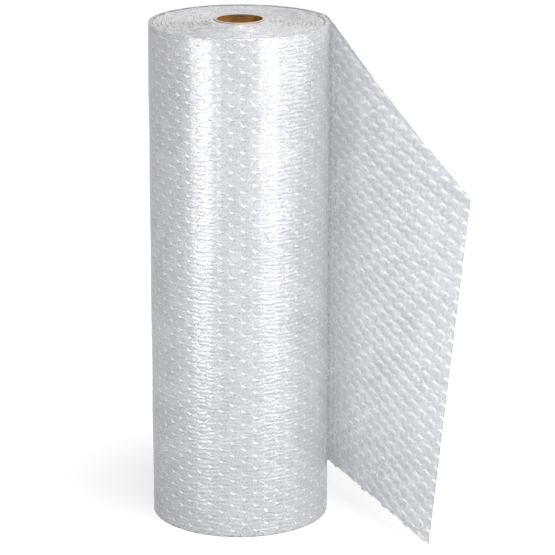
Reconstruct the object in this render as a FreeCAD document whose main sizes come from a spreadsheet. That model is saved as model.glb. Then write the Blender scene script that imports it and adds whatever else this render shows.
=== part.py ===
import FreeCAD, Part
import math
import os

import Sketcher
from FreeCAD import Placement, Rotation, Vector

# Bubble wrap roll, standing on its end with the free end of the film hanging off one side.
# +Z is the roll's axis, and the origin is the centre of the core's lower end, in millimetres.
# The winding is a two-centre spiral: half turns about two centres on the X axis, so that every
# turn lies one film thickness and one gap outside the turn before it.

doc = FreeCAD.newDocument("bubble_wrap_roll")

# Driving dimensions: name, value and what it is
SIZES = [
    ("film_width", 500.0, "width of the film, which is the height of the standing roll"),
    ("film_thickness", 3.9, "thickness of the film over its bubbles"),
    ("turn_gap", 0.4, "air between one turn and the next"),
    ("half_turns", 29, "half turns wound on the core, an odd number"),
    ("core_bore", 45.0, "inside diameter of the cardboard core"),
    ("core_wall", 2.0, "wall of the cardboard core"),
    ("core_proud", 3.0, "how far the core stands out of the film at the top"),
    ("core_clearance", 0.2, "clearance between the core and the first turn"),
    ("leave_angle", 22.0, "where the tail leaves the roll, in degrees round from +X"),
    ("lower_length", 176.0, "length of the tail's lower edge, seen from above"),
    ("lower_bend", 27.0, "how far the lower edge turns outwards, in degrees"),
    ("upper_length", 201.0, "length of the tail's upper edge, seen from above"),
    ("upper_bend", 44.0, "how far the upper edge turns outwards, in degrees"),
    ("tail_rise", 42.0, "height of the film's lower edge where the tail leaves the roll"),
    ("slant_drop", 150.0, "how far the slanted cut has come down at the tail's outer corner"),
    ("sheet_thickness", 0.8, "thickness of the tail's flat side, between its bubbles"),
    ("bubble_pitch", 13.0, "from one bubble to the next, up the film"),
    ("bubble_width", 10.0, "width of a bubble where it rises from the flat side, across its flats"),
    ("bubble_top", 6.8, "width of a bubble at its top, across its flats"),
]
SLANT_EASE = 1.35  # how much the slanted cut is eased in at the rim: 1 is a straight cut
RISE_EASE = 2  # how much the lower edge stays up before it runs down to the floor
EDGE_ROOM = 0.8  # how far a bubble's middle stays from the tail's long edges, in bubble widths
END_ROOM = 0.6  # how far it stays from the free end, in bubble widths

sheet = doc.addObject("Spreadsheet::Sheet", "Sizes")
for row, (name, value, meaning) in enumerate(SIZES, start=1):
    sheet.set(f"A{row}", name)
    sheet.set(f"B{row}", str(value))
    sheet.set(f"C{row}", meaning)
    sheet.setAlias(f"B{row}", name)
doc.recompute()

film_width = float(sheet.film_width)
film_thickness = float(sheet.film_thickness)
half_turns = int(sheet.half_turns)
core_radius = float(sheet.core_bore) / 2 + float(sheet.core_wall)
pitch = film_thickness + float(sheet.turn_gap)
centre_offset = pitch / 4
first_radius = core_radius + float(sheet.core_clearance) + centre_offset
leave_angle = math.radians(float(sheet.leave_angle))


def inner_radius(half_turn):
    """Radius of a half turn's inner face, about its own centre."""
    return first_radius + half_turn * pitch / 2


def centre_of(half_turn):
    """Centre of a half turn: those over the back share one, and those over the front the other."""
    side = 1 if half_turn % 2 == 0 else -1
    return Vector(side * centre_offset, 0, 0)


def on_circle(centre, radius, angle):
    """Point of a circle about a centre."""
    return centre + Vector(radius * math.cos(angle), radius * math.sin(angle), 0)


def turn_arc(half_turn, radius, sweep):
    """Arc of one half turn, clockwise from the left over the back or from the right over the front."""
    start = math.pi if half_turn % 2 == 0 else 0
    centre = centre_of(half_turn)
    points = [on_circle(centre, radius, start - share * sweep) for share in (0, 0.5, 1)]
    return Part.Arc(*points).toShape()


def strip(name, turns, sweep=math.pi):
    """Half turns that follow each other, as one strip of film stood on its edge."""
    inner = [turn_arc(i, inner_radius(i), sweep) for i in turns]
    outer = [turn_arc(i, inner_radius(i) + film_thickness, sweep) for i in turns]
    start = Part.LineSegment(inner[0].valueAt(inner[0].FirstParameter),
                             outer[0].valueAt(outer[0].FirstParameter)).toShape()
    end = Part.LineSegment(inner[-1].valueAt(inner[-1].LastParameter),
                           outer[-1].valueAt(outer[-1].LastParameter)).toShape()
    outline = Part.Wire(Part.__sortEdges__([start, *inner, end, *outer]))
    piece = doc.addObject("Part::Feature", name)
    piece.Shape = Part.Face(outline).extrude(Vector(0, 0, film_width))
    return piece


def core_tube():
    """Spiral-wound cardboard tube, one piece, flush with the film at the bottom."""
    body = doc.addObject("PartDesign::Body", "CoreTube")
    body.Label = "core_tube"
    ground = next(plane for plane in body.Origin.OriginFeatures if plane.Role == "XY_Plane")
    sketch = body.newObject("Sketcher::SketchObject", "CoreSection")
    sketch.AttachmentSupport = [(ground, "")]
    sketch.MapMode = "FlatFace"
    circles = [
        ("bore_radius", core_radius / 2, "Sizes.core_bore / 2"),
        ("outer_radius", core_radius, "Sizes.core_bore / 2 + Sizes.core_wall"),
    ]
    for name, radius, formula in circles:
        circle = sketch.addGeometry(Part.Circle(Vector(0, 0, 0), Vector(0, 0, 1), radius), False)
        sketch.addConstraint(Sketcher.Constraint("Coincident", circle, 3, -1, 1))
        index = sketch.addConstraint(Sketcher.Constraint("Radius", circle, radius))
        sketch.renameConstraint(index, name)
        sketch.setExpression(f"Constraints.{name}", formula)
    pad = body.newObject("PartDesign::Pad", "CoreLength")
    pad.Profile = sketch
    pad.setExpression("Length", "Sizes.film_width + Sizes.core_proud")
    return body


def last_turn():
    """Last half turn, over the back: its lower edge climbs towards the tail, as loose film does."""
    index = half_turns - 1
    whole = strip("LastTurnUncut", [index], math.pi - leave_angle)

    # A block tilted about Y takes the wedge below the climbing edge away
    outer_radius = inner_radius(index) + film_thickness
    left = centre_offset - outer_radius
    right = on_circle(centre_of(index), outer_radius, leave_angle).x
    slope = math.degrees(math.atan2(float(sheet.tail_rise), right - left))
    block = doc.addObject("Part::Box", "ClimbingEdge")
    block.Length = 3 * outer_radius
    block.Width = 2 * outer_radius
    block.Height = film_width
    tilt = Rotation(Vector(0, 1, 0), -slope)
    corner = Vector(0, 0, -film_width)
    block.Placement = Placement(Vector(left, 0, 0) + tilt.multVec(corner), tilt)
    cut = doc.addObject("Part::Cut", "LastTurn")
    cut.Base = whole
    cut.Tool = block
    return cut


def plan_point(start, heading, length, bend, share):
    """Point and heading on an arc seen from above that leaves at a heading and turns outwards."""
    turned = heading - bend * share
    radius = length / bend
    offset = Vector(math.sin(heading) - math.sin(turned), math.cos(turned) - math.cos(heading), 0)
    return start + Vector(offset.x, -offset.y, 0) * radius, turned


def tail_section(share):
    """The tail's middle line at a share of its length: lower end, upper end and outward direction."""
    index = half_turns - 1
    root = on_circle(centre_of(index), inner_radius(index) + film_thickness / 2, leave_angle)
    heading = math.pi / 2 - leave_angle
    low, low_heading = plan_point(root, heading, float(sheet.lower_length),
                                  math.radians(float(sheet.lower_bend)), share)
    high, high_heading = plan_point(root, heading, float(sheet.upper_length),
                                    math.radians(float(sheet.upper_bend)), share)
    low.z = float(sheet.tail_rise) * (1 - share ** RISE_EASE)
    high.z = film_width - float(sheet.slant_drop) * share ** SLANT_EASE
    middle = (low_heading + high_heading) / 2
    return low, high, Vector(math.sin(middle), math.cos(middle), 0)


def loose_sheet(shares):
    """The tail's flat side, in flat facets between straight lines at these shares of its length."""
    outside = film_thickness / 2
    inside = outside - float(sheet.sheet_thickness)
    sections = []
    for share in shares:
        low, high, out = tail_section(share)
        sections.append([low + out * inside, high + out * inside, high + out * outside, low + out * outside])
    facets = [sections[0], sections[-1][::-1]]
    for start, end in zip(sections, sections[1:]):
        for corner in range(4):
            following = (corner + 1) % 4
            # The inner and the outer face fold along the same diagonal, so the sheet stays even
            if corner < 2:
                facets.append([start[corner], end[corner], end[following]])
                facets.append([start[corner], end[following], start[following]])
            else:
                facets.append([start[corner], end[corner], start[following]])
                facets.append([start[following], end[corner], end[following]])
    shell = Part.makeShell([Part.Face(Part.makePolygon([*facet, facet[0]])) for facet in facets])
    shell.sewShape()
    return Part.makeSolid(shell)


def six_sided(middle, out, width):
    """Hexagon across a direction, as wide between its upper and lower side as given."""
    across = Vector(-out.y, out.x, 0)
    corners = []
    for turn in range(0, 360, 60):
        radius = width / 2 / math.cos(math.radians(30))
        along, up = radius * math.cos(math.radians(turn)), radius * math.sin(math.radians(turn))
        corners.append(middle + across * along + Vector(0, 0, up))
    return Part.makePolygon([*corners, corners[0]])


def bubble_column(column, share):
    """One column of bubbles, standing out of the tail's inner side; every other one is half a pitch up."""
    pitch_up = float(sheet.bubble_pitch)
    foot = film_thickness / 2 - float(sheet.sheet_thickness) / 2
    edge = EDGE_ROOM * float(sheet.bubble_width)
    low, high, out = tail_section(share)
    lift = pitch_up * (1 - share ** RISE_EASE) + pitch_up / 2 * (column % 2)
    bubbles = []
    for row in range(math.ceil(film_width / pitch_up)):
        height = row * pitch_up + lift
        if low.z + edge < height < high.z - edge:
            middle = low + (high - low) * ((height - low.z) / (high.z - low.z))
            base = six_sided(middle + out * foot, out, float(sheet.bubble_width))
            top = six_sided(middle - out * (film_thickness / 2), out, float(sheet.bubble_top))
            bubbles.append(Part.makeLoft([base, top], True, True))
    return bubbles


def tail():
    """Free end: it leaves the roll along its tangent and bends outwards, more at the top."""
    length = (float(sheet.lower_length) + float(sheet.upper_length)) / 2
    column_pitch = float(sheet.bubble_pitch) * math.cos(math.radians(30)) / length
    columns = int((1 - END_ROOM * float(sheet.bubble_width) / length) / column_pitch)
    flat_side = loose_sheet([0, *((column + 0.5) * column_pitch for column in range(columns)), 1])
    bubbles = []
    for column in range(1, columns + 1):
        bubbles += bubble_column(column, column * column_pitch)
    loose_end = doc.addObject("Part::Feature", "Tail")
    loose_end.Shape = flat_side.fuse(bubbles)
    return loose_end


def bubble_film():
    """The whole film, one continuous sheet: the wound turns, the last turn and the tail."""
    film = doc.addObject("Part::MultiFuse", "BubbleFilm")
    film.Label = "bubble_film"
    film.Shapes = [strip("WoundTurns", range(half_turns - 1)), last_turn(), tail()]
    return film


pieces = [core_tube(), bubble_film()]
doc.recompute()

for item in doc.Objects:
    if "Invalid" in item.State or "Error" in item.State:
        raise RuntimeError(f"{item.Label} failed: {item.State}")
for piece in pieces:
    shape = piece.Shape
    if shape.isNull() or not shape.isValid() or len(shape.Solids) != 1:
        raise RuntimeError(f"{piece.Label} is not one valid solid")

os.makedirs("parts", exist_ok=True)
for piece in pieces:
    piece.Shape.exportStep(f"parts/{piece.Label}.step")
    box = piece.Shape.BoundBox
    print(piece.Label, "volume", round(piece.Shape.Volume), "mm3",
          "box", [round(v, 1) for v in (box.XMin, box.YMin, box.ZMin, box.XMax, box.YMax, box.ZMax)])
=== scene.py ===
import math

import bmesh
import bpy
import numpy as np
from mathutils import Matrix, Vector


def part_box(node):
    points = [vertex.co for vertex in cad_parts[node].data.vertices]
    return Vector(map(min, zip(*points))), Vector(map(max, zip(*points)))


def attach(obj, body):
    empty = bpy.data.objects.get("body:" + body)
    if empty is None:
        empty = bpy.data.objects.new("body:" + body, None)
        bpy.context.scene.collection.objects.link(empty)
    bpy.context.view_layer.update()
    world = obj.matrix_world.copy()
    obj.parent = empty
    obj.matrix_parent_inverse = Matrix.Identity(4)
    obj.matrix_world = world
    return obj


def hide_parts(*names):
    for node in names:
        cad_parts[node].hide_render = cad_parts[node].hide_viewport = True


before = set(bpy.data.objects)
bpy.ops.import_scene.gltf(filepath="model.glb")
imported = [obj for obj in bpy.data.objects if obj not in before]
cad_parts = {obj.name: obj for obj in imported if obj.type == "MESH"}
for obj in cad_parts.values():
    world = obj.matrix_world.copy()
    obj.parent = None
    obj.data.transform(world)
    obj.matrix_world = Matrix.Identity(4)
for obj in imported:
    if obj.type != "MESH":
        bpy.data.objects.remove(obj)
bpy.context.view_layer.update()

# Core tube
# The film is wound on a tube of brown paperboard strips, rolled up on a slant and glued. Its ends are
# sawn off square, which leaves a pale rim of open paper fibres. The tube is the CAD solid itself.
CORE_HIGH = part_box("core_tube")[1]
STRIP_WIDTH = 0.075
RIM_LOW, RIM_HIGH = CORE_HIGH.z - 0.0006, CORE_HIGH.z - 0.0002
CARDBOARD = (0.58, 0.285, 0.09)
CARDBOARD_DARK = (0.26, 0.125, 0.038)
SAWN_PAPER = (0.90, 0.80, 0.64)


class Socket:
    """A socket of a material's nodes. Arithmetic on it adds the Math nodes."""

    def __init__(self, tree, socket):
        self.tree = tree
        self.socket = socket

    def node(self, kind, settings, inputs, output=0):
        """Adds any other node: its settings first, then the values or links of its sockets."""
        made = self.tree.nodes.new("ShaderNode" + kind)
        for name, value in settings.items():
            setattr(made, name, value)
        for name, value in inputs.items():
            if isinstance(value, Socket):
                self.tree.links.new(value.socket, made.inputs[name])
            elif isinstance(value, tuple):
                made.inputs[name].default_value = (*value, 1)
            else:
                made.inputs[name].default_value = value
        return Socket(self.tree, made.outputs[output])

    def beside(self, output):
        """Another output of the same node."""
        return Socket(self.tree, self.socket.node.outputs[output])

    def maths(self, operation, *others):
        """A Math node whose first value is this one."""
        return self.node("Math", {"operation": operation}, dict(enumerate((self, *others))))

    def __add__(self, other):
        return self.maths("ADD", other)

    def __sub__(self, other):
        return self.maths("SUBTRACT", other)

    def __rsub__(self, other):
        return self.node("Math", {"operation": "SUBTRACT"}, {0: other, 1: self})

    def __mul__(self, other):
        return self.maths("MULTIPLY", other)

    __radd__ = __add__
    __rmul__ = __mul__

    def length_with(self, other):
        """Length of the way whose two parts are this number and the other."""
        return (self * self + other * other).maths("SQRT")

    def step(self, low, high):
        """0 below low and 1 above high, with a smooth rise between."""
        settings = {"interpolation_type": "SMOOTHSTEP"}
        return self.node("MapRange", settings, {"Value": self, "From Min": low, "From Max": high})

    def within(self, low, high, soft):
        """1 from low to high, with soft ends."""
        return self.step(low - soft, low) * (1 - self.step(high, high + soft))

    def blend(self, none, full):
        """The first colour where this number is 0, going over to the second where it is 1."""
        return self.node("Mix", {"data_type": "RGBA"}, {0: self, 6: none, 7: full}, 2)

    def mix(self, other, share):
        """This colour, going over to the other one where the share is 1."""
        return share.blend(self, other)

    def noise(self, scale, detail, distortion=0.0):
        """Noise at this place."""
        inputs = {"Vector": self, "Scale": scale, "Detail": detail, "Distortion": distortion}
        return self.node("TexNoise", {}, inputs)

    def bump(self, distance, strength):
        """Surface normal for this height."""
        return self.node("Bump", {}, {"Height": self, "Distance": distance, "Strength": strength})

    def kept(self, name):
        """The number that the mesh keeps at its points under this name."""
        return self.node("Attribute", {"attribute_name": name}, {}, "Fac")

    def parts(self):
        """X, Y and Z of this place."""
        x = self.node("SeparateXYZ", {}, {0: self})
        return x, x.beside(1), x.beside(2)


def new_material(name):
    """A material with its shader, and the place on the piece to start from."""
    material = bpy.data.materials.new(name)
    material.use_nodes = True
    shader = material.node_tree.nodes["Principled BSDF"]
    place = Socket(material.node_tree, None).node("TexCoord", {}, {}, "Object")
    return material, shader, place


def feed(shader, **sockets):
    """Links or sets the shader's sockets, named with _ for each space."""
    for name, value in sockets.items():
        target = shader.inputs[name.replace("_", " ")]
        if isinstance(value, Socket):
            value.tree.links.new(value.socket, target)
        elif isinstance(value, tuple):
            target.default_value = (*value, 1)
        else:
            target.default_value = value


def cardboard():
    """Brown paperboard inside and out, with the slanted seams of its strips, and a pale sawn rim."""
    material, shader, place = new_material("spiral_cardboard")
    x, y, height = place.parts()
    turn = y.maths("ARCTAN2", x) * (1 / math.tau)
    across_strip = (height * (1 / STRIP_WIDTH) + turn).maths("FRACT")
    seam = 1 - across_strip.step(0.0, 0.03)
    fibres = place.noise(scale=900, detail=6, distortion=0.4)
    blotches = place.noise(scale=60, detail=3)
    brown = blotches.step(0.35, 0.7).blend(CARDBOARD_DARK, CARDBOARD)
    brown = brown.mix(CARDBOARD_DARK, seam * 0.8)
    feed(
        shader,
        Base_Color=brown.mix(SAWN_PAPER, height.step(RIM_LOW, RIM_HIGH)),
        Roughness=fibres.step(0.2, 0.8) * 0.15 + 0.75,
        Specular_IOR_Level=0.2,
        Normal=(fibres + seam * 1.5).bump(0.0003, 0.5),
    )
    return material


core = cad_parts["core_tube"]
core.data.materials.clear()
core.data.materials.append(cardboard())

# Wound film
# Clear polyethylene film with a layer of air bubbles welded to it, wound with its flat side out. Between
# the bubbles the two layers are welded flat, and over each bubble the outer one swells a little.
FILM_WIDTH = 0.500
FILM_THICKNESS = 0.0039
TURN_PITCH = FILM_THICKNESS + 0.0004
CENTRE_OFFSET = TURN_PITCH / 4
CORE_RADIUS = CORE_HIGH.x
FIRST_RADIUS = CORE_RADIUS + 0.0002 + CENTRE_OFFSET
HALF_TURNS = 29
LEAVE_ANGLE = math.radians(22)
TAIL_RISE = 0.042
ROW_PITCH = 0.013
COLUMN_PITCH = ROW_PITCH * math.cos(math.radians(30))
CELL_SIDES = 12
CELL_CORNER = ROW_PITCH / 2 / math.cos(math.radians(30))
BUBBLE_RADIUS = 0.0052
SWELL_RINGS = (0.0036, 0.0017)
WELD_DISTANCE = 0.0002
CUT_TOLERANCE = 1e-5
SWELL = 0.0003
WAVE = 0.0003
PUCKER, PUCKER_RADIUS = 0.0003, 0.001
OVERLAP = 1.1
FILM_LIGHT = (0.68, 0.70, 0.725)
FILM_SHADE = (0.61, 0.63, 0.655)
# Darker film: random patches and specks, and painted shade for the rim arcs and flecks.
DARK_FILM_AND_PAINTED_SHADE = (0.32, 0.335, 0.36)
# Near-white: pale cut film, and painted highlights for glints, creases, rims and gaps.
PALE_FILM_AND_PAINTED_GLINT = (0.95, 0.955, 0.965)
MIRROR_TINT = (0.55, 0.56, 0.58)


def clear_selection():
    if bpy.context.object and bpy.context.object.mode != "OBJECT":
        bpy.ops.object.mode_set(mode="OBJECT")
    bpy.ops.object.select_all(action="DESELECT")


def edit_whole(piece):
    """Opens one piece in edit mode with all of it selected."""
    clear_selection()
    piece.select_set(True)
    bpy.context.view_layer.objects.active = piece
    bpy.ops.object.mode_set(mode="EDIT")
    bpy.ops.mesh.select_all(action="SELECT")


def pick_vertices(piece, wanted):
    """Selects the vertices that are wanted, in edit mode."""
    bpy.ops.mesh.select_all(action="DESELECT")
    mesh = bmesh.from_edit_mesh(piece.data)
    for vertex in mesh.verts:
        vertex.select = wanted(vertex.co)
    mesh.select_flush(True)
    bmesh.update_edit_mesh(piece.data)


def bubble_cell(name, ring_radii):
    """One six-sided cell of flat film, with rings of faces where its bubble rises."""
    clear_selection()
    bpy.ops.mesh.primitive_circle_add(vertices=CELL_SIDES, radius=BUBBLE_RADIUS, fill_type="NGON")
    cell = bpy.context.object
    cell.name = name
    edit_whole(cell)
    radius = BUBBLE_RADIUS
    for smaller in ring_radii:
        bpy.ops.mesh.inset(thickness=(radius - smaller) * math.cos(math.pi / CELL_SIDES))
        radius = smaller
    pick_vertices(cell, lambda place: place.length > BUBBLE_RADIUS * 0.99)
    bpy.ops.mesh.extrude_edges_move()
    flat = ROW_PITCH / 2
    bpy.ops.transform.resize(value=(flat / BUBBLE_RADIUS, flat / BUBBLE_RADIUS, 1))

    def at_corner(place):
        sixth = (math.degrees(math.atan2(place.y, place.x)) + 15) % 60
        return place.length > flat * 0.99 and sixth < 30

    pick_vertices(cell, at_corner)
    bpy.ops.transform.resize(value=(CELL_CORNER / flat, CELL_CORNER / flat, 1))
    bpy.ops.object.mode_set(mode="OBJECT")
    return cell


def repeat(piece, count, step):
    """Copies a piece along a step, welding each copy to the one before."""
    array = piece.modifiers.new("repeat", "ARRAY")
    array.use_relative_offset = False
    array.use_constant_offset = True
    array.constant_offset_displace = step
    array.count = count
    array.use_merge_vertices = True
    array.merge_threshold = WELD_DISTANCE
    bpy.context.view_layer.objects.active = piece
    bpy.ops.object.modifier_apply(modifier=array.name)


def read_vertices(piece):
    places = np.empty(len(piece.data.vertices) * 3)
    piece.data.vertices.foreach_get("co", places)
    return places.reshape(-1, 3)


def write_vertices(piece, places):
    piece.data.vertices.foreach_set("co", places.ravel())
    piece.data.update()


def flat_film(name, length, width, ring_radii):
    """Flat film lying in X and Y: bubble cells, two columns at a time, over a length and a width."""
    film = bubble_cell(name, ring_radii)
    rows = math.ceil(width / ROW_PITCH) + 2
    pairs = math.ceil(length / COLUMN_PITCH / 2) + 2
    edit_whole(film)
    bpy.ops.mesh.duplicate_move()
    bpy.ops.transform.translate(value=(COLUMN_PITCH, ROW_PITCH / 2, 0))
    bpy.ops.mesh.select_all(action="SELECT")
    bpy.ops.mesh.remove_doubles(threshold=WELD_DISTANCE)
    bpy.ops.object.mode_set(mode="OBJECT")
    repeat(film, rows, (0, ROW_PITCH, 0))
    repeat(film, pairs, (2 * COLUMN_PITCH, 0, 0))
    places = read_vertices(film)
    places[:, :2] -= (COLUMN_PITCH, ROW_PITCH)
    write_vertices(film, places)
    return film


def cut_off(piece, point, away):
    """Cuts off what lies beyond a plane."""
    edit_whole(piece)
    bpy.ops.mesh.bisect(plane_co=point, plane_no=away, clear_outer=True, threshold=CUT_TOLERANCE)
    bpy.ops.object.mode_set(mode="OBJECT")


def trim_edge(film, edge_line, away):
    """Cuts flat film along a curved line, which is made straight for the cut. Returns the places left."""
    places = read_vertices(film)
    places[:, 1] -= edge_line(places[:, 0])
    write_vertices(film, places)
    cut_off(film, (0, 0, 0), away)
    places = read_vertices(film)
    places[:, 1] += edge_line(places[:, 0])
    write_vertices(film, places)
    return places


def close_rim(piece, depth):
    """Gives the open edges of flat film the film's thickness."""
    edit_whole(piece)
    bpy.ops.mesh.select_mode(type="EDGE")
    bpy.ops.mesh.select_all(action="DESELECT")
    bpy.ops.mesh.select_non_manifold(extend=False, use_boundary=True)
    bpy.ops.mesh.extrude_edges_move(TRANSFORM_OT_translate={"value": (0, 0, -depth)})
    bpy.ops.mesh.select_mode(type="VERT")
    bpy.ops.object.mode_set(mode="OBJECT")


def nearest_bubble(places):
    """For each place on flat film: the column and row of the nearest bubble, and the way to its middle."""
    best = np.full(len(places), np.inf)
    cell = np.zeros((len(places), 2))
    column = np.round(places[:, 0] / COLUMN_PITCH)
    for guess in (column - 1, column, column + 1):
        shift = (guess % 2) / 2
        row = np.round(places[:, 1] / ROW_PITCH - shift) + shift
        away = np.hypot(places[:, 0] - guess * COLUMN_PITCH, places[:, 1] - row * ROW_PITCH)
        nearer = away < best
        best[nearer] = away[nearer]
        cell[nearer, 0] = guess[nearer]
        cell[nearer, 1] = row[nearer]
    return cell, best


def own_tone(cell):
    """A number from 0 to 1 that is the same all over one bubble and looks drawn at random."""
    mixed = np.sin(cell[:, 0] * 12.9898 + cell[:, 1] * 78.233 + 37.719) * 43758.5453
    return mixed - np.floor(mixed)


def puckered(places, cell):
    """1 where three bubbles meet, and 0 from a pucker's radius on."""
    x, y = places[:, 0] - cell[:, 0] * COLUMN_PITCH, places[:, 1] - cell[:, 1] * ROW_PITCH
    turn = np.radians(np.round(np.degrees(np.arctan2(y, x)) / 60) * 60)
    away = np.hypot(x - CELL_CORNER * np.cos(turn), y - CELL_CORNER * np.sin(turn))
    return np.clip(1 - away / PUCKER_RADIUS, 0, 1)


def keep_for_material(piece, **kept):
    """Keeps values at each point for the material to read."""
    for name, values in kept.items():
        layer = piece.data.attributes.new(name, "FLOAT", "POINT")
        layer.data.foreach_set("value", np.asarray(values, np.float32))


def keep_lattice(film, places, cell):
    """Keeps each bubble's own tone, and the place across the two families of straight creases, which is a
    whole number of both at a bubble's middle."""
    slope = math.tan(math.radians(30))
    keep_for_material(
        film,
        tone=own_tone(cell),
        crease_down=(places[:, 1] + places[:, 0] * slope) / ROW_PITCH,
        crease_up=(places[:, 1] - places[:, 0] * slope) / ROW_PITCH,
    )


def half_turn(index):
    """Centre, outer radius and starting angle of a half turn of the winding."""
    centre = CENTRE_OFFSET if index % 2 == 0 else -CENTRE_OFFSET
    start = math.pi if index % 2 == 0 else 0.0
    return centre, FIRST_RADIUS + index * TURN_PITCH / 2 + FILM_THICKNESS, start


LAST_LENGTH = half_turn(HALF_TURNS - 1)[1] * (math.pi - LEAVE_ANGLE)
FRONT_LENGTH = half_turn(HALF_TURNS - 2)[1] * math.pi
UNDER_RADIUS = half_turn(HALF_TURNS - 3)[1]


def wind(distance, depth):
    """X and Y at a distance back along the outermost film from where the tail leaves, and a depth in."""
    x = np.zeros_like(distance)
    y = np.zeros_like(distance)
    distance = np.maximum(distance, 0)
    covered = 0.0
    for index in range(HALF_TURNS - 1, -1, -1):
        centre, radius, start = half_turn(index)
        sweep = math.pi - LEAVE_ANGLE if index == HALF_TURNS - 1 else math.pi
        here = distance >= covered
        angle = start - sweep + (distance[here] - covered) / radius
        x[here] = centre + (radius - depth[here]) * np.cos(angle)
        y[here] = (radius - depth[here]) * np.sin(angle)
        covered += radius * sweep
    return x, y


def smooth(low, high, value):
    """0 below low and 1 above high, with a smooth rise between."""
    share = np.clip((value - low) / (high - low), 0, 1)
    return share * share * (3 - 2 * share)


def climbing_edge(distance):
    """Height of the film's lower edge: on the last half turn it climbs towards the tail."""
    x, _ = wind(distance, np.zeros_like(distance))
    left = CENTRE_OFFSET - half_turn(HALF_TURNS - 1)[1]
    right = wind(np.zeros(1), np.zeros(1))[0][0]
    return np.where(distance < LAST_LENGTH, TAIL_RISE * (x - left) / (right - left), 0.0)


def wound_skin(name, start, length, width, edge_line):
    """Part of the outermost film, whose flat side is the roll's outer surface."""
    film = flat_film(name, length + start, width, SWELL_RINGS)
    cut_off(film, (start, 0, 0), (-1, 0, 0))
    cut_off(film, (start + length, 0, 0), (1, 0, 0))
    cut_off(film, (0, width, 0), (0, 1, 0))
    places = trim_edge(film, edge_line, (0, -1, 0))
    cell, away = nearest_bubble(places)
    keep_lattice(film, places, cell)
    middle = cell[:, 1] * ROW_PITCH
    inside = np.minimum(middle - edge_line(places[:, 0]), FILM_WIDTH - middle)
    whole = smooth(0.2 * BUBBLE_RADIUS, 1.1 * BUBBLE_RADIUS, inside)
    round_off = 1 - np.clip(away / BUBBLE_RADIUS, 0, 1) ** 3
    swell = SWELL * whole * (0.65 + 0.5 * own_tone(cell)) * round_off
    swell += PUCKER * puckered(places, cell)
    wave = np.sin(places[:, 0] * 37 + 2 * np.sin(places[:, 1] * 23)) * np.sin(places[:, 1] * 31 + 1)
    places[:, 2] = swell + WAVE * wave
    write_vertices(film, places)
    close_rim(film, FILM_THICKNESS)
    places = read_vertices(film)
    x, y = wind(places[:, 0], -places[:, 2])
    write_vertices(film, np.column_stack([x, y, places[:, 1]]))
    film.data.shade_smooth()
    return film


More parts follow.
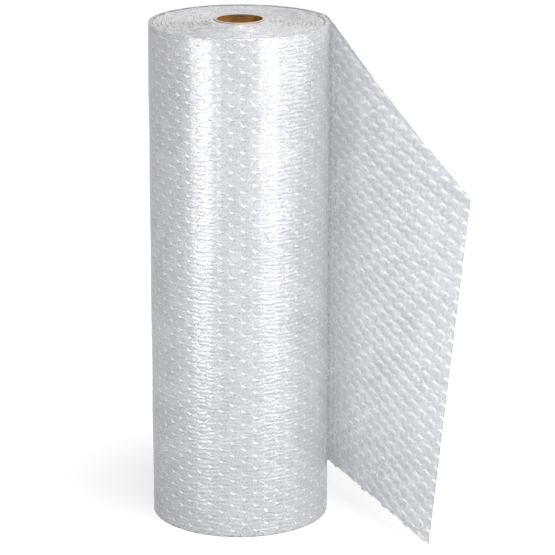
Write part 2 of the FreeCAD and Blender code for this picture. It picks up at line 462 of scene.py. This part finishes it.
def film_plastic(
    name, mirror, see_through, index, painted_gap_highlight, glint_size, glint_broken, painted_rim_highlight, ripple_height
):
    """Clear film. Over many layers of itself it looks pale grey, and they mirror light much as foil does.
    Where three bubbles meet lie a painted glint and a fleck of painted shade, arcs of painted shade lie
    along each bubble's rim, and painted highlights lie on creases, rims and the gaps between bubbles."""
    material, shader, place = new_material(name)
    tone, down, up = place.kept("tone"), place.kept("crease_down"), place.kept("crease_up")
    crinkles = place.noise(scale=310, detail=3, distortion=1.5)
    fine = place.noise(scale=640, detail=2, distortion=0.8)
    patches = place.noise(scale=23, detail=3)
    off_down = down - down.maths("ROUND")
    off_up = up - up.maths("ROUND")
    across = (off_down - off_up) * (COLUMN_PITCH / BUBBLE_RADIUS)
    upward = (off_down + off_up) * (ROW_PITCH / 2 / BUBBLE_RADIUS)
    reach = across.length_with(upward)
    # Arcs along each bubble's rim, used for painted shade and for less mirroring.
    arcs = reach.within(0.97, 1.02, 0.06).maths("MAXIMUM", reach.within(0.40, 0.44, 0.06) * 0.7)
    arcs = arcs * upward.maths("ABSOLUTE").step(0.12, 0.4)
    # Painted highlight: a glint where three bubbles meet.
    glint_down = down.maths("FRACT") - 1 / 3 + (crinkles - 0.5) * 0.16
    glint_up = up.maths("FRACT") - 2 / 3 + (fine - 0.5) * 0.3
    glint = (glint_down * (1 / 0.06)).length_with(glint_up * (1 / 0.17))
    glint = 1 - glint.step(0.6 * glint_size, 1.2 * glint_size)
    glint = glint * (1 - (1 - fine.step(0.38, 0.48)) * glint_broken)
    # Painted shade: a dark fleck beside each painted glint.
    painted_shade_fleck = (glint_down * (1 / 0.05)).length_with((glint_up + 0.2) * (1 / 0.1))
    painted_shade_fleck = 1 - painted_shade_fleck.step(0.6, 1.2)
    # Painted highlight: thin white lines along one family of creases.
    painted_crease_glint = 1 - (down.maths("FRACT") - 0.5).maths("ABSOLUTE").step(0.015, 0.05)
    painted_crease_glint = painted_crease_glint * crinkles.step(0.40, 0.60)
    film = tone.blend(FILM_SHADE, FILM_LIGHT)
    film = film.mix(DARK_FILM_AND_PAINTED_SHADE, patches.step(0.45, 0.8) * 0.2)
    film = film.mix(DARK_FILM_AND_PAINTED_SHADE, (1 - fine.step(0.34, 0.46)) * 0.4)
    # Painted shade: grey arcs along the upper and lower rim of each bubble.
    film = film.mix(DARK_FILM_AND_PAINTED_SHADE, arcs * 0.35)
    # Painted glints: small white specks at random.
    film = film.mix(PALE_FILM_AND_PAINTED_GLINT, fine.step(0.56, 0.66) * 0.4)
    # Painted highlight in the flat gaps between bubbles.
    film = film.mix(PALE_FILM_AND_PAINTED_GLINT, reach.step(0.98, 1.06) * crinkles.step(0.3, 0.6) * painted_gap_highlight)
    film = film.mix(DARK_FILM_AND_PAINTED_SHADE, painted_shade_fleck * 0.9)
    # Painted highlight: a thin pale ring on each bubble's rim.
    film = film.mix(PALE_FILM_AND_PAINTED_GLINT, reach.within(0.96, 1.0, 0.05) * crinkles.step(0.35, 0.6) * painted_rim_highlight)
    # Painted highlights: the glints and the crease lines.
    film = film.mix(PALE_FILM_AND_PAINTED_GLINT, glint.maths("MAXIMUM", painted_crease_glint * 0.7))
    ripple = ((down + up) * 1.5 + patches * 2 + tone).maths("FRACT")
    ripple = (ripple - 0.5).maths("ABSOLUTE").step(0.0, 0.5)
    height = crinkles * 0.6 + fine * 0.3 + glint * 0.5 + ripple * ripple_height
    feed(
        shader,
        Base_Color=film,
        Metallic=(1 - arcs * 0.9) * mirror,
        Roughness=patches.step(0.3, 0.8) * 0.06 + 0.26,
        IOR=index,
        Specular_IOR_Level=0.25,
        Specular_Tint=MIRROR_TINT,
        Transmission_Weight=see_through,
        Normal=height.bump(0.0005, 0.75),
    )
    return material


def add_film(piece, finish):
    piece.data.materials.append(finish)
    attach(piece, "root")
    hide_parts("bubble_film")


wound_plastic = film_plastic(
    "wound_film_plastic",
    mirror=0.31,
    see_through=0.0,
    index=1.45,
    painted_gap_highlight=0.06,
    glint_size=1.25,
    glint_broken=0.0,
    painted_rim_highlight=0.0,
    ripple_height=0.38,
)
outer_skin = wound_skin(
    "wound_film",
    start=0,
    length=LAST_LENGTH + FRONT_LENGTH + UNDER_RADIUS * LEAVE_ANGLE * OVERLAP,
    width=FILM_WIDTH,
    edge_line=climbing_edge,
)
add_film(outer_skin, wound_plastic)
skin_below = wound_skin(
    "wound_film_below",
    start=LAST_LENGTH + FRONT_LENGTH + UNDER_RADIUS * LEAVE_ANGLE,
    length=UNDER_RADIUS * (math.pi - LEAVE_ANGLE),
    width=TAIL_RISE * 1.3,
    edge_line=np.zeros_like,
)
add_film(skin_below, wound_plastic)

# Wound edges
# The cut edges of all the turns, seen at both ends of the roll: in each turn a straight line of flat
# film, and the layer of bubbles, cut through, waving in and out beside it. Nothing is added or glued.
EDGE_STEP = 0.0017
EDGE_DEPTH = 0.003
LINES = 6
LINE_WIDTH = 0.0004
LINE_DEPTH, FLAT_DEPTH = 0.0002, 0.0003
DOME_HEIGHT = 0.0036
CROWN, CROWN_RADIUS = 0.0026, 0.052
INNERMOST_LENGTH = (half_turn(0)[1] + half_turn(1)[1]) * math.pi
CORE_GAP, CORE_DROP = 0.00005, 0.0004
CUT_SHADE = (0.52, 0.53, 0.56)


def wound_edges(name, start, crown_height):
    """A ribbon with the section of the film's cut edge, wound as the film is. At the innermost turns its
    last line lies on the core."""
    total = sum(half_turn(index)[1] * math.pi for index in range(HALF_TURNS - 1)) + LAST_LENGTH - start
    clear_selection()
    steps = int(total / EDGE_STEP)
    bpy.ops.mesh.primitive_grid_add(x_subdivisions=steps, y_subdivisions=LINES, size=1)
    edges = bpy.context.object
    edges.name = name
    places = read_vertices(edges)
    distance = start + (places[:, 0] + 0.5) * total
    line = np.round((0.5 - places[:, 1]) * LINES).astype(int)
    dome = np.abs(np.sin(distance / (2 * COLUMN_PITCH) * math.pi * 2)) ** 0.7
    wander = np.sin(distance * 61) * np.sin(distance * 143 + 1)
    crest = LINE_WIDTH * 1.6 + (DOME_HEIGHT - LINE_WIDTH * 2) * dome
    flat_line = (LINE_DEPTH, FLAT_DEPTH, FLAT_DEPTH + LINE_WIDTH)
    wavy_line = (crest * 0.55, crest, crest + LINE_WIDTH)
    depth = np.choose(line, [*flat_line, *wavy_line, TURN_PITCH])
    low = EDGE_DEPTH * (0.75 + 0.25 * np.sin(distance * 229))
    flat_crest = 0.0003 * (1 + wander)
    wavy_crest = 0.0004 * (1 + np.sin(distance * 311))
    height = -np.choose(line, [low, flat_crest, flat_crest, low * dome, wavy_crest, wavy_crest, low])
    x, y = wind(distance, depth)
    radius = np.hypot(x, y)
    on_core = (line == LINES) & (distance > start + total - INNERMOST_LENGTH)
    height[on_core] = -CORE_DROP
    grow = np.maximum(CORE_RADIUS + CORE_GAP, np.where(on_core, 0, radius)) / radius
    crown = crown_height * (1 - smooth(CORE_RADIUS, CROWN_RADIUS, radius))
    write_vertices(edges, np.column_stack([x * grow, y * grow, height + crown + FILM_WIDTH]))
    keep_for_material(edges, sunk=-height / EDGE_DEPTH, tone=0.5 + 0.4 * wander)
    edges.data.shade_smooth()
    return edges


def turn_over(piece):
    """Makes a ribbon that was wound for the roll's upper end into its lower one."""
    places = read_vertices(piece)
    places[:, 2] = FILM_WIDTH - places[:, 2]
    write_vertices(piece, places)
    edit_whole(piece)
    bpy.ops.mesh.flip_normals()
    bpy.ops.object.mode_set(mode="OBJECT")
    return piece


def cut_edges_plastic():
    """The same film seen on its cut edge: pale lines, with painted shade where the edge is sunk between
    them.
    """
    material, shader, place = new_material("film_cut_edges")
    specks = place.noise(scale=800, detail=4, distortion=1.0)
    patches = place.noise(scale=70, detail=2)
    film = place.kept("tone").blend(FILM_SHADE, PALE_FILM_AND_PAINTED_GLINT)
    # Painted shade where the cut edge is sunk.
    film = film.mix(CUT_SHADE, place.kept("sunk").step(0.1, 0.9) * 0.6)
    film = film.mix(CUT_SHADE, patches.step(0.45, 0.75) * 0.4)
    film = film.mix(PALE_FILM_AND_PAINTED_GLINT, specks.step(0.52, 0.64) * 0.6)
    film = film.mix(CUT_SHADE, (1 - specks.step(0.36, 0.48)) * 0.8)
    feed(
        shader,
        Base_Color=film,
        Roughness=specks.step(0.3, 0.7) * 0.2 + 0.2,
        Coat_Weight=0.5,
        Coat_Roughness=0.1,
        Normal=specks.bump(0.0006, 0.5),
    )
    return material


cut_film = cut_edges_plastic()
add_film(wound_edges("wound_edges_top", 0, CROWN), cut_film)
add_film(turn_over(wound_edges("wound_edges_bottom", LAST_LENGTH, 0)), cut_film)

# Tail
# The loose end of the film. It leaves the roll along its tangent and bends outwards, more at the top,
# where it was cut off on a slant. Its bubbles stand out of the side that faces the roll.
LOWER_LENGTH, LOWER_BEND = 0.176, math.radians(27)
UPPER_LENGTH, UPPER_BEND = 0.201, math.radians(44)
TAIL_LENGTH = (LOWER_LENGTH + UPPER_LENGTH) / 2
SLANT_DROP, SLANT_EASE = 0.150, 1.35
ROW_LIFT = ROW_PITCH
SHEET = 0.0003
RING_RADII = (0.0049, 0.0042, 0.0022)
RING_HEIGHTS = (0.5, 0.86, 1.0)


def plan_point(length, bend, share):
    """Place and heading on an arc seen from above that leaves the roll and turns outwards."""
    centre, radius, _ = half_turn(HALF_TURNS - 1)
    radius -= FILM_THICKNESS / 2
    heading = math.pi / 2 - LEAVE_ANGLE
    turned = heading - bend * share
    x = centre + radius * math.cos(LEAVE_ANGLE) + (math.sin(heading) - np.sin(turned)) * length / bend
    y = radius * math.sin(LEAVE_ANGLE) - (np.cos(turned) - math.cos(heading)) * length / bend
    return x, y, turned


def tail_edges(share):
    """Heights of the tail's lower and upper edge."""
    return TAIL_RISE * (1 - share**2), FILM_WIDTH - SLANT_DROP * np.clip(share, 0, None) ** SLANT_EASE


def row_lift(share):
    """How far up the rows of bubbles have come: most at the roll, and nothing at the tail's end."""
    return ROW_LIFT * (1 - share**2)


def bubble_wholeness(cell):
    """How much of its height each bubble has: those that an edge cuts have gone nearly flat."""
    middle = cell * (COLUMN_PITCH, ROW_PITCH)
    share = middle[:, 0] / TAIL_LENGTH
    low, high = tail_edges(share)
    lift = row_lift(share)
    inside = np.minimum(middle[:, 1] + lift - low, high - middle[:, 1] - lift)
    inside = np.minimum(inside, np.minimum(TAIL_LENGTH - middle[:, 0], middle[:, 0]))
    return 0.25 + 0.75 * smooth(0.1 * BUBBLE_RADIUS, BUBBLE_RADIUS, inside)


def tail_relief(places, cell, away):
    """Heights over the flat sheet: domes on one face of it, and slight swellings on the other."""
    whole = bubble_wholeness(cell)
    dome = np.interp(away, (*RING_RADII[::-1], BUBBLE_RADIUS), (*RING_HEIGHTS[::-1], 0.0))
    dome *= DOME_HEIGHT * whole * (0.88 + 0.12 * own_tone(cell))
    dome += 2 * PUCKER * puckered(places, cell)
    swell = SWELL * 0.6 * whole * (1 - np.clip(away / BUBBLE_RADIUS, 0, 1) ** 2)
    return np.where(places[:, 2] > -SHEET / 2, SHEET + dome, -swell)


def tail_film():
    """The tail, cut and thickened flat, then stood up along the arcs of its lower and upper edge."""
    film = flat_film("film_tail", TAIL_LENGTH, FILM_WIDTH, RING_RADII)
    cut_off(film, (0, 0, 0), (-1, 0, 0))
    cut_off(film, (TAIL_LENGTH, 0, 0), (1, 0, 0))
    for side, away in ((0, (0, -1, 0)), (1, (0, 1, 0))):
        trim_edge(film, lambda x: tail_edges(x / TAIL_LENGTH)[side] - row_lift(x / TAIL_LENGTH), away)
    solidify = film.modifiers.new("sheet", "SOLIDIFY")
    solidify.thickness = SHEET
    bpy.context.view_layer.objects.active = film
    bpy.ops.object.modifier_apply(modifier=solidify.name)
    places = read_vertices(film)
    cell, away = nearest_bubble(places)
    keep_lattice(film, places, cell)
    share = places[:, 0] / TAIL_LENGTH
    low, high = tail_edges(share)
    z = places[:, 1] + row_lift(share)
    up = (z - low) / (high - low)
    low_x, low_y, low_turned = plan_point(LOWER_LENGTH, LOWER_BEND, share)
    high_x, high_y, high_turned = plan_point(UPPER_LENGTH, UPPER_BEND, share)
    normal = (low_turned + high_turned) / 2
    out = FILM_THICKNESS / 2 - tail_relief(places, cell, away)
    x = low_x + (high_x - low_x) * up + np.sin(normal) * out
    y = low_y + (high_y - low_y) * up + np.cos(normal) * out
    write_vertices(film, np.column_stack([x, y, z]))
    film.data.shade_smooth()
    return film


loose_plastic = film_plastic(
    "loose_film_plastic",
    mirror=0.1,
    see_through=0.82,
    index=1.12,
    painted_gap_highlight=0.06,
    glint_size=2.2,
    glint_broken=0.5,
    painted_rim_highlight=0.3,
    ripple_height=0.0,
)
add_film(tail_film(), loose_plastic)

# Studio
# A pale floor, two tall soft lamps that make the two bright bands down the roll, a large softbox above
# it, a fill from the right and a pale sky. Near the roll the floor glows a little less: painted shade
# around the roll, under which the roll's real shadow also shows.
LOOK_DOWN = math.radians(16.13)
CAMERA_PLACE = (0.0367, -2.705, 1.024)
CAMERA_LENS = 183.7
LAMPS = (
    ("left_strip", -44, 0, 0.9, 0.25, 0.64, 2.5),
    ("right_strip", 40, 0, 0.9, 0.23, 0.64, 2.05),
    ("softbox", 25, 54, 3.0, 2.0, 2.0, 66),
    ("side_fill", 75, 12, 3.0, 2.0, 2.0, 23),
)
LAMP_CLEARANCE = 0.01
SKY = (0.93, 0.965, 1.0)
SKY_LIGHT = 0.1
BLACK, WHITE = (0.0, 0.0, 0.0), (1.0, 1.0, 1.0)
FLOOR_SIZE = 40
FLOOR_GREY = (0.35, 0.35, 0.35)
FLOOR_GLOW = 0.98
PAINTED_SHADE_GLOW_NEAR = (0.75, 0.75, 0.75)
NEAR, FAR = 0.10, 0.36


def seen_directly(socket):
    """1 for what the camera sees, directly, in a mirror or through glass."""
    path = socket.node("LightPath", {}, {})
    reflected, through = path.beside("Is Glossy Ray"), path.beside("Is Transmission Ray")
    return path.maths("MAXIMUM", reflected.maths("MAXIMUM", through))


clear_selection()
bpy.ops.mesh.primitive_plane_add(size=FLOOR_SIZE)
floor = bpy.context.object
floor.name = "floor"
material, shader, place = new_material("studio_floor")
floor_x, floor_y, _ = place.parts()
# Painted shade: the floor glows less within a short way of the roll.
glow = floor_x.length_with(floor_y).step(NEAR, FAR).blend(PAINTED_SHADE_GLOW_NEAR, WHITE)
feed(
    shader,
    Base_Color=FLOOR_GREY,
    Roughness=place.noise(scale=40, detail=3) * 0.1 + 0.85,
    Specular_IOR_Level=0.0,
    Emission_Color=seen_directly(place).blend(BLACK, glow),
    Emission_Strength=FLOOR_GLOW,
)
floor.data.materials.append(material)

for name, azimuth, up, away, width, height, power in LAMPS:
    lamp = bpy.data.lights.new(name, "AREA")
    lamp.shape = "RECTANGLE"
    lamp.size = width
    lamp.size_y = height
    lamp.energy = power
    holder = bpy.data.objects.new(name, lamp)
    bpy.context.scene.collection.objects.link(holder)
    turn, rise = math.radians(azimuth), math.radians(up)
    level, lift = away * math.cos(rise), away * math.sin(rise)
    aim = max(FILM_WIDTH / 2, height / 2 + LAMP_CLEARANCE - lift)
    holder.location = (math.sin(turn) * level, -math.cos(turn) * level, aim + lift)
    holder.rotation_euler = (math.pi / 2 - rise, 0, turn)

world = bpy.data.worlds.new("studio")
bpy.context.scene.world = world
world.use_nodes = True
background = world.node_tree.nodes["Background"]
white = seen_directly(Socket(world.node_tree, None))
world.node_tree.links.new(white.blend(SKY, WHITE).socket, background.inputs["Color"])
world.node_tree.links.new((white * (1 - SKY_LIGHT) + SKY_LIGHT).socket, background.inputs["Strength"])

view = bpy.data.cameras.new("photo_view")
view.lens = CAMERA_LENS
view_holder = bpy.data.objects.new("photo_view", view)
bpy.context.scene.collection.objects.link(view_holder)
view_holder.location = CAMERA_PLACE
view_holder.rotation_euler = (math.pi / 2 - LOOK_DOWN, 0, 0)
bpy.context.scene.camera = view_holder
bpy.context.scene.view_settings.view_transform = "Standard"
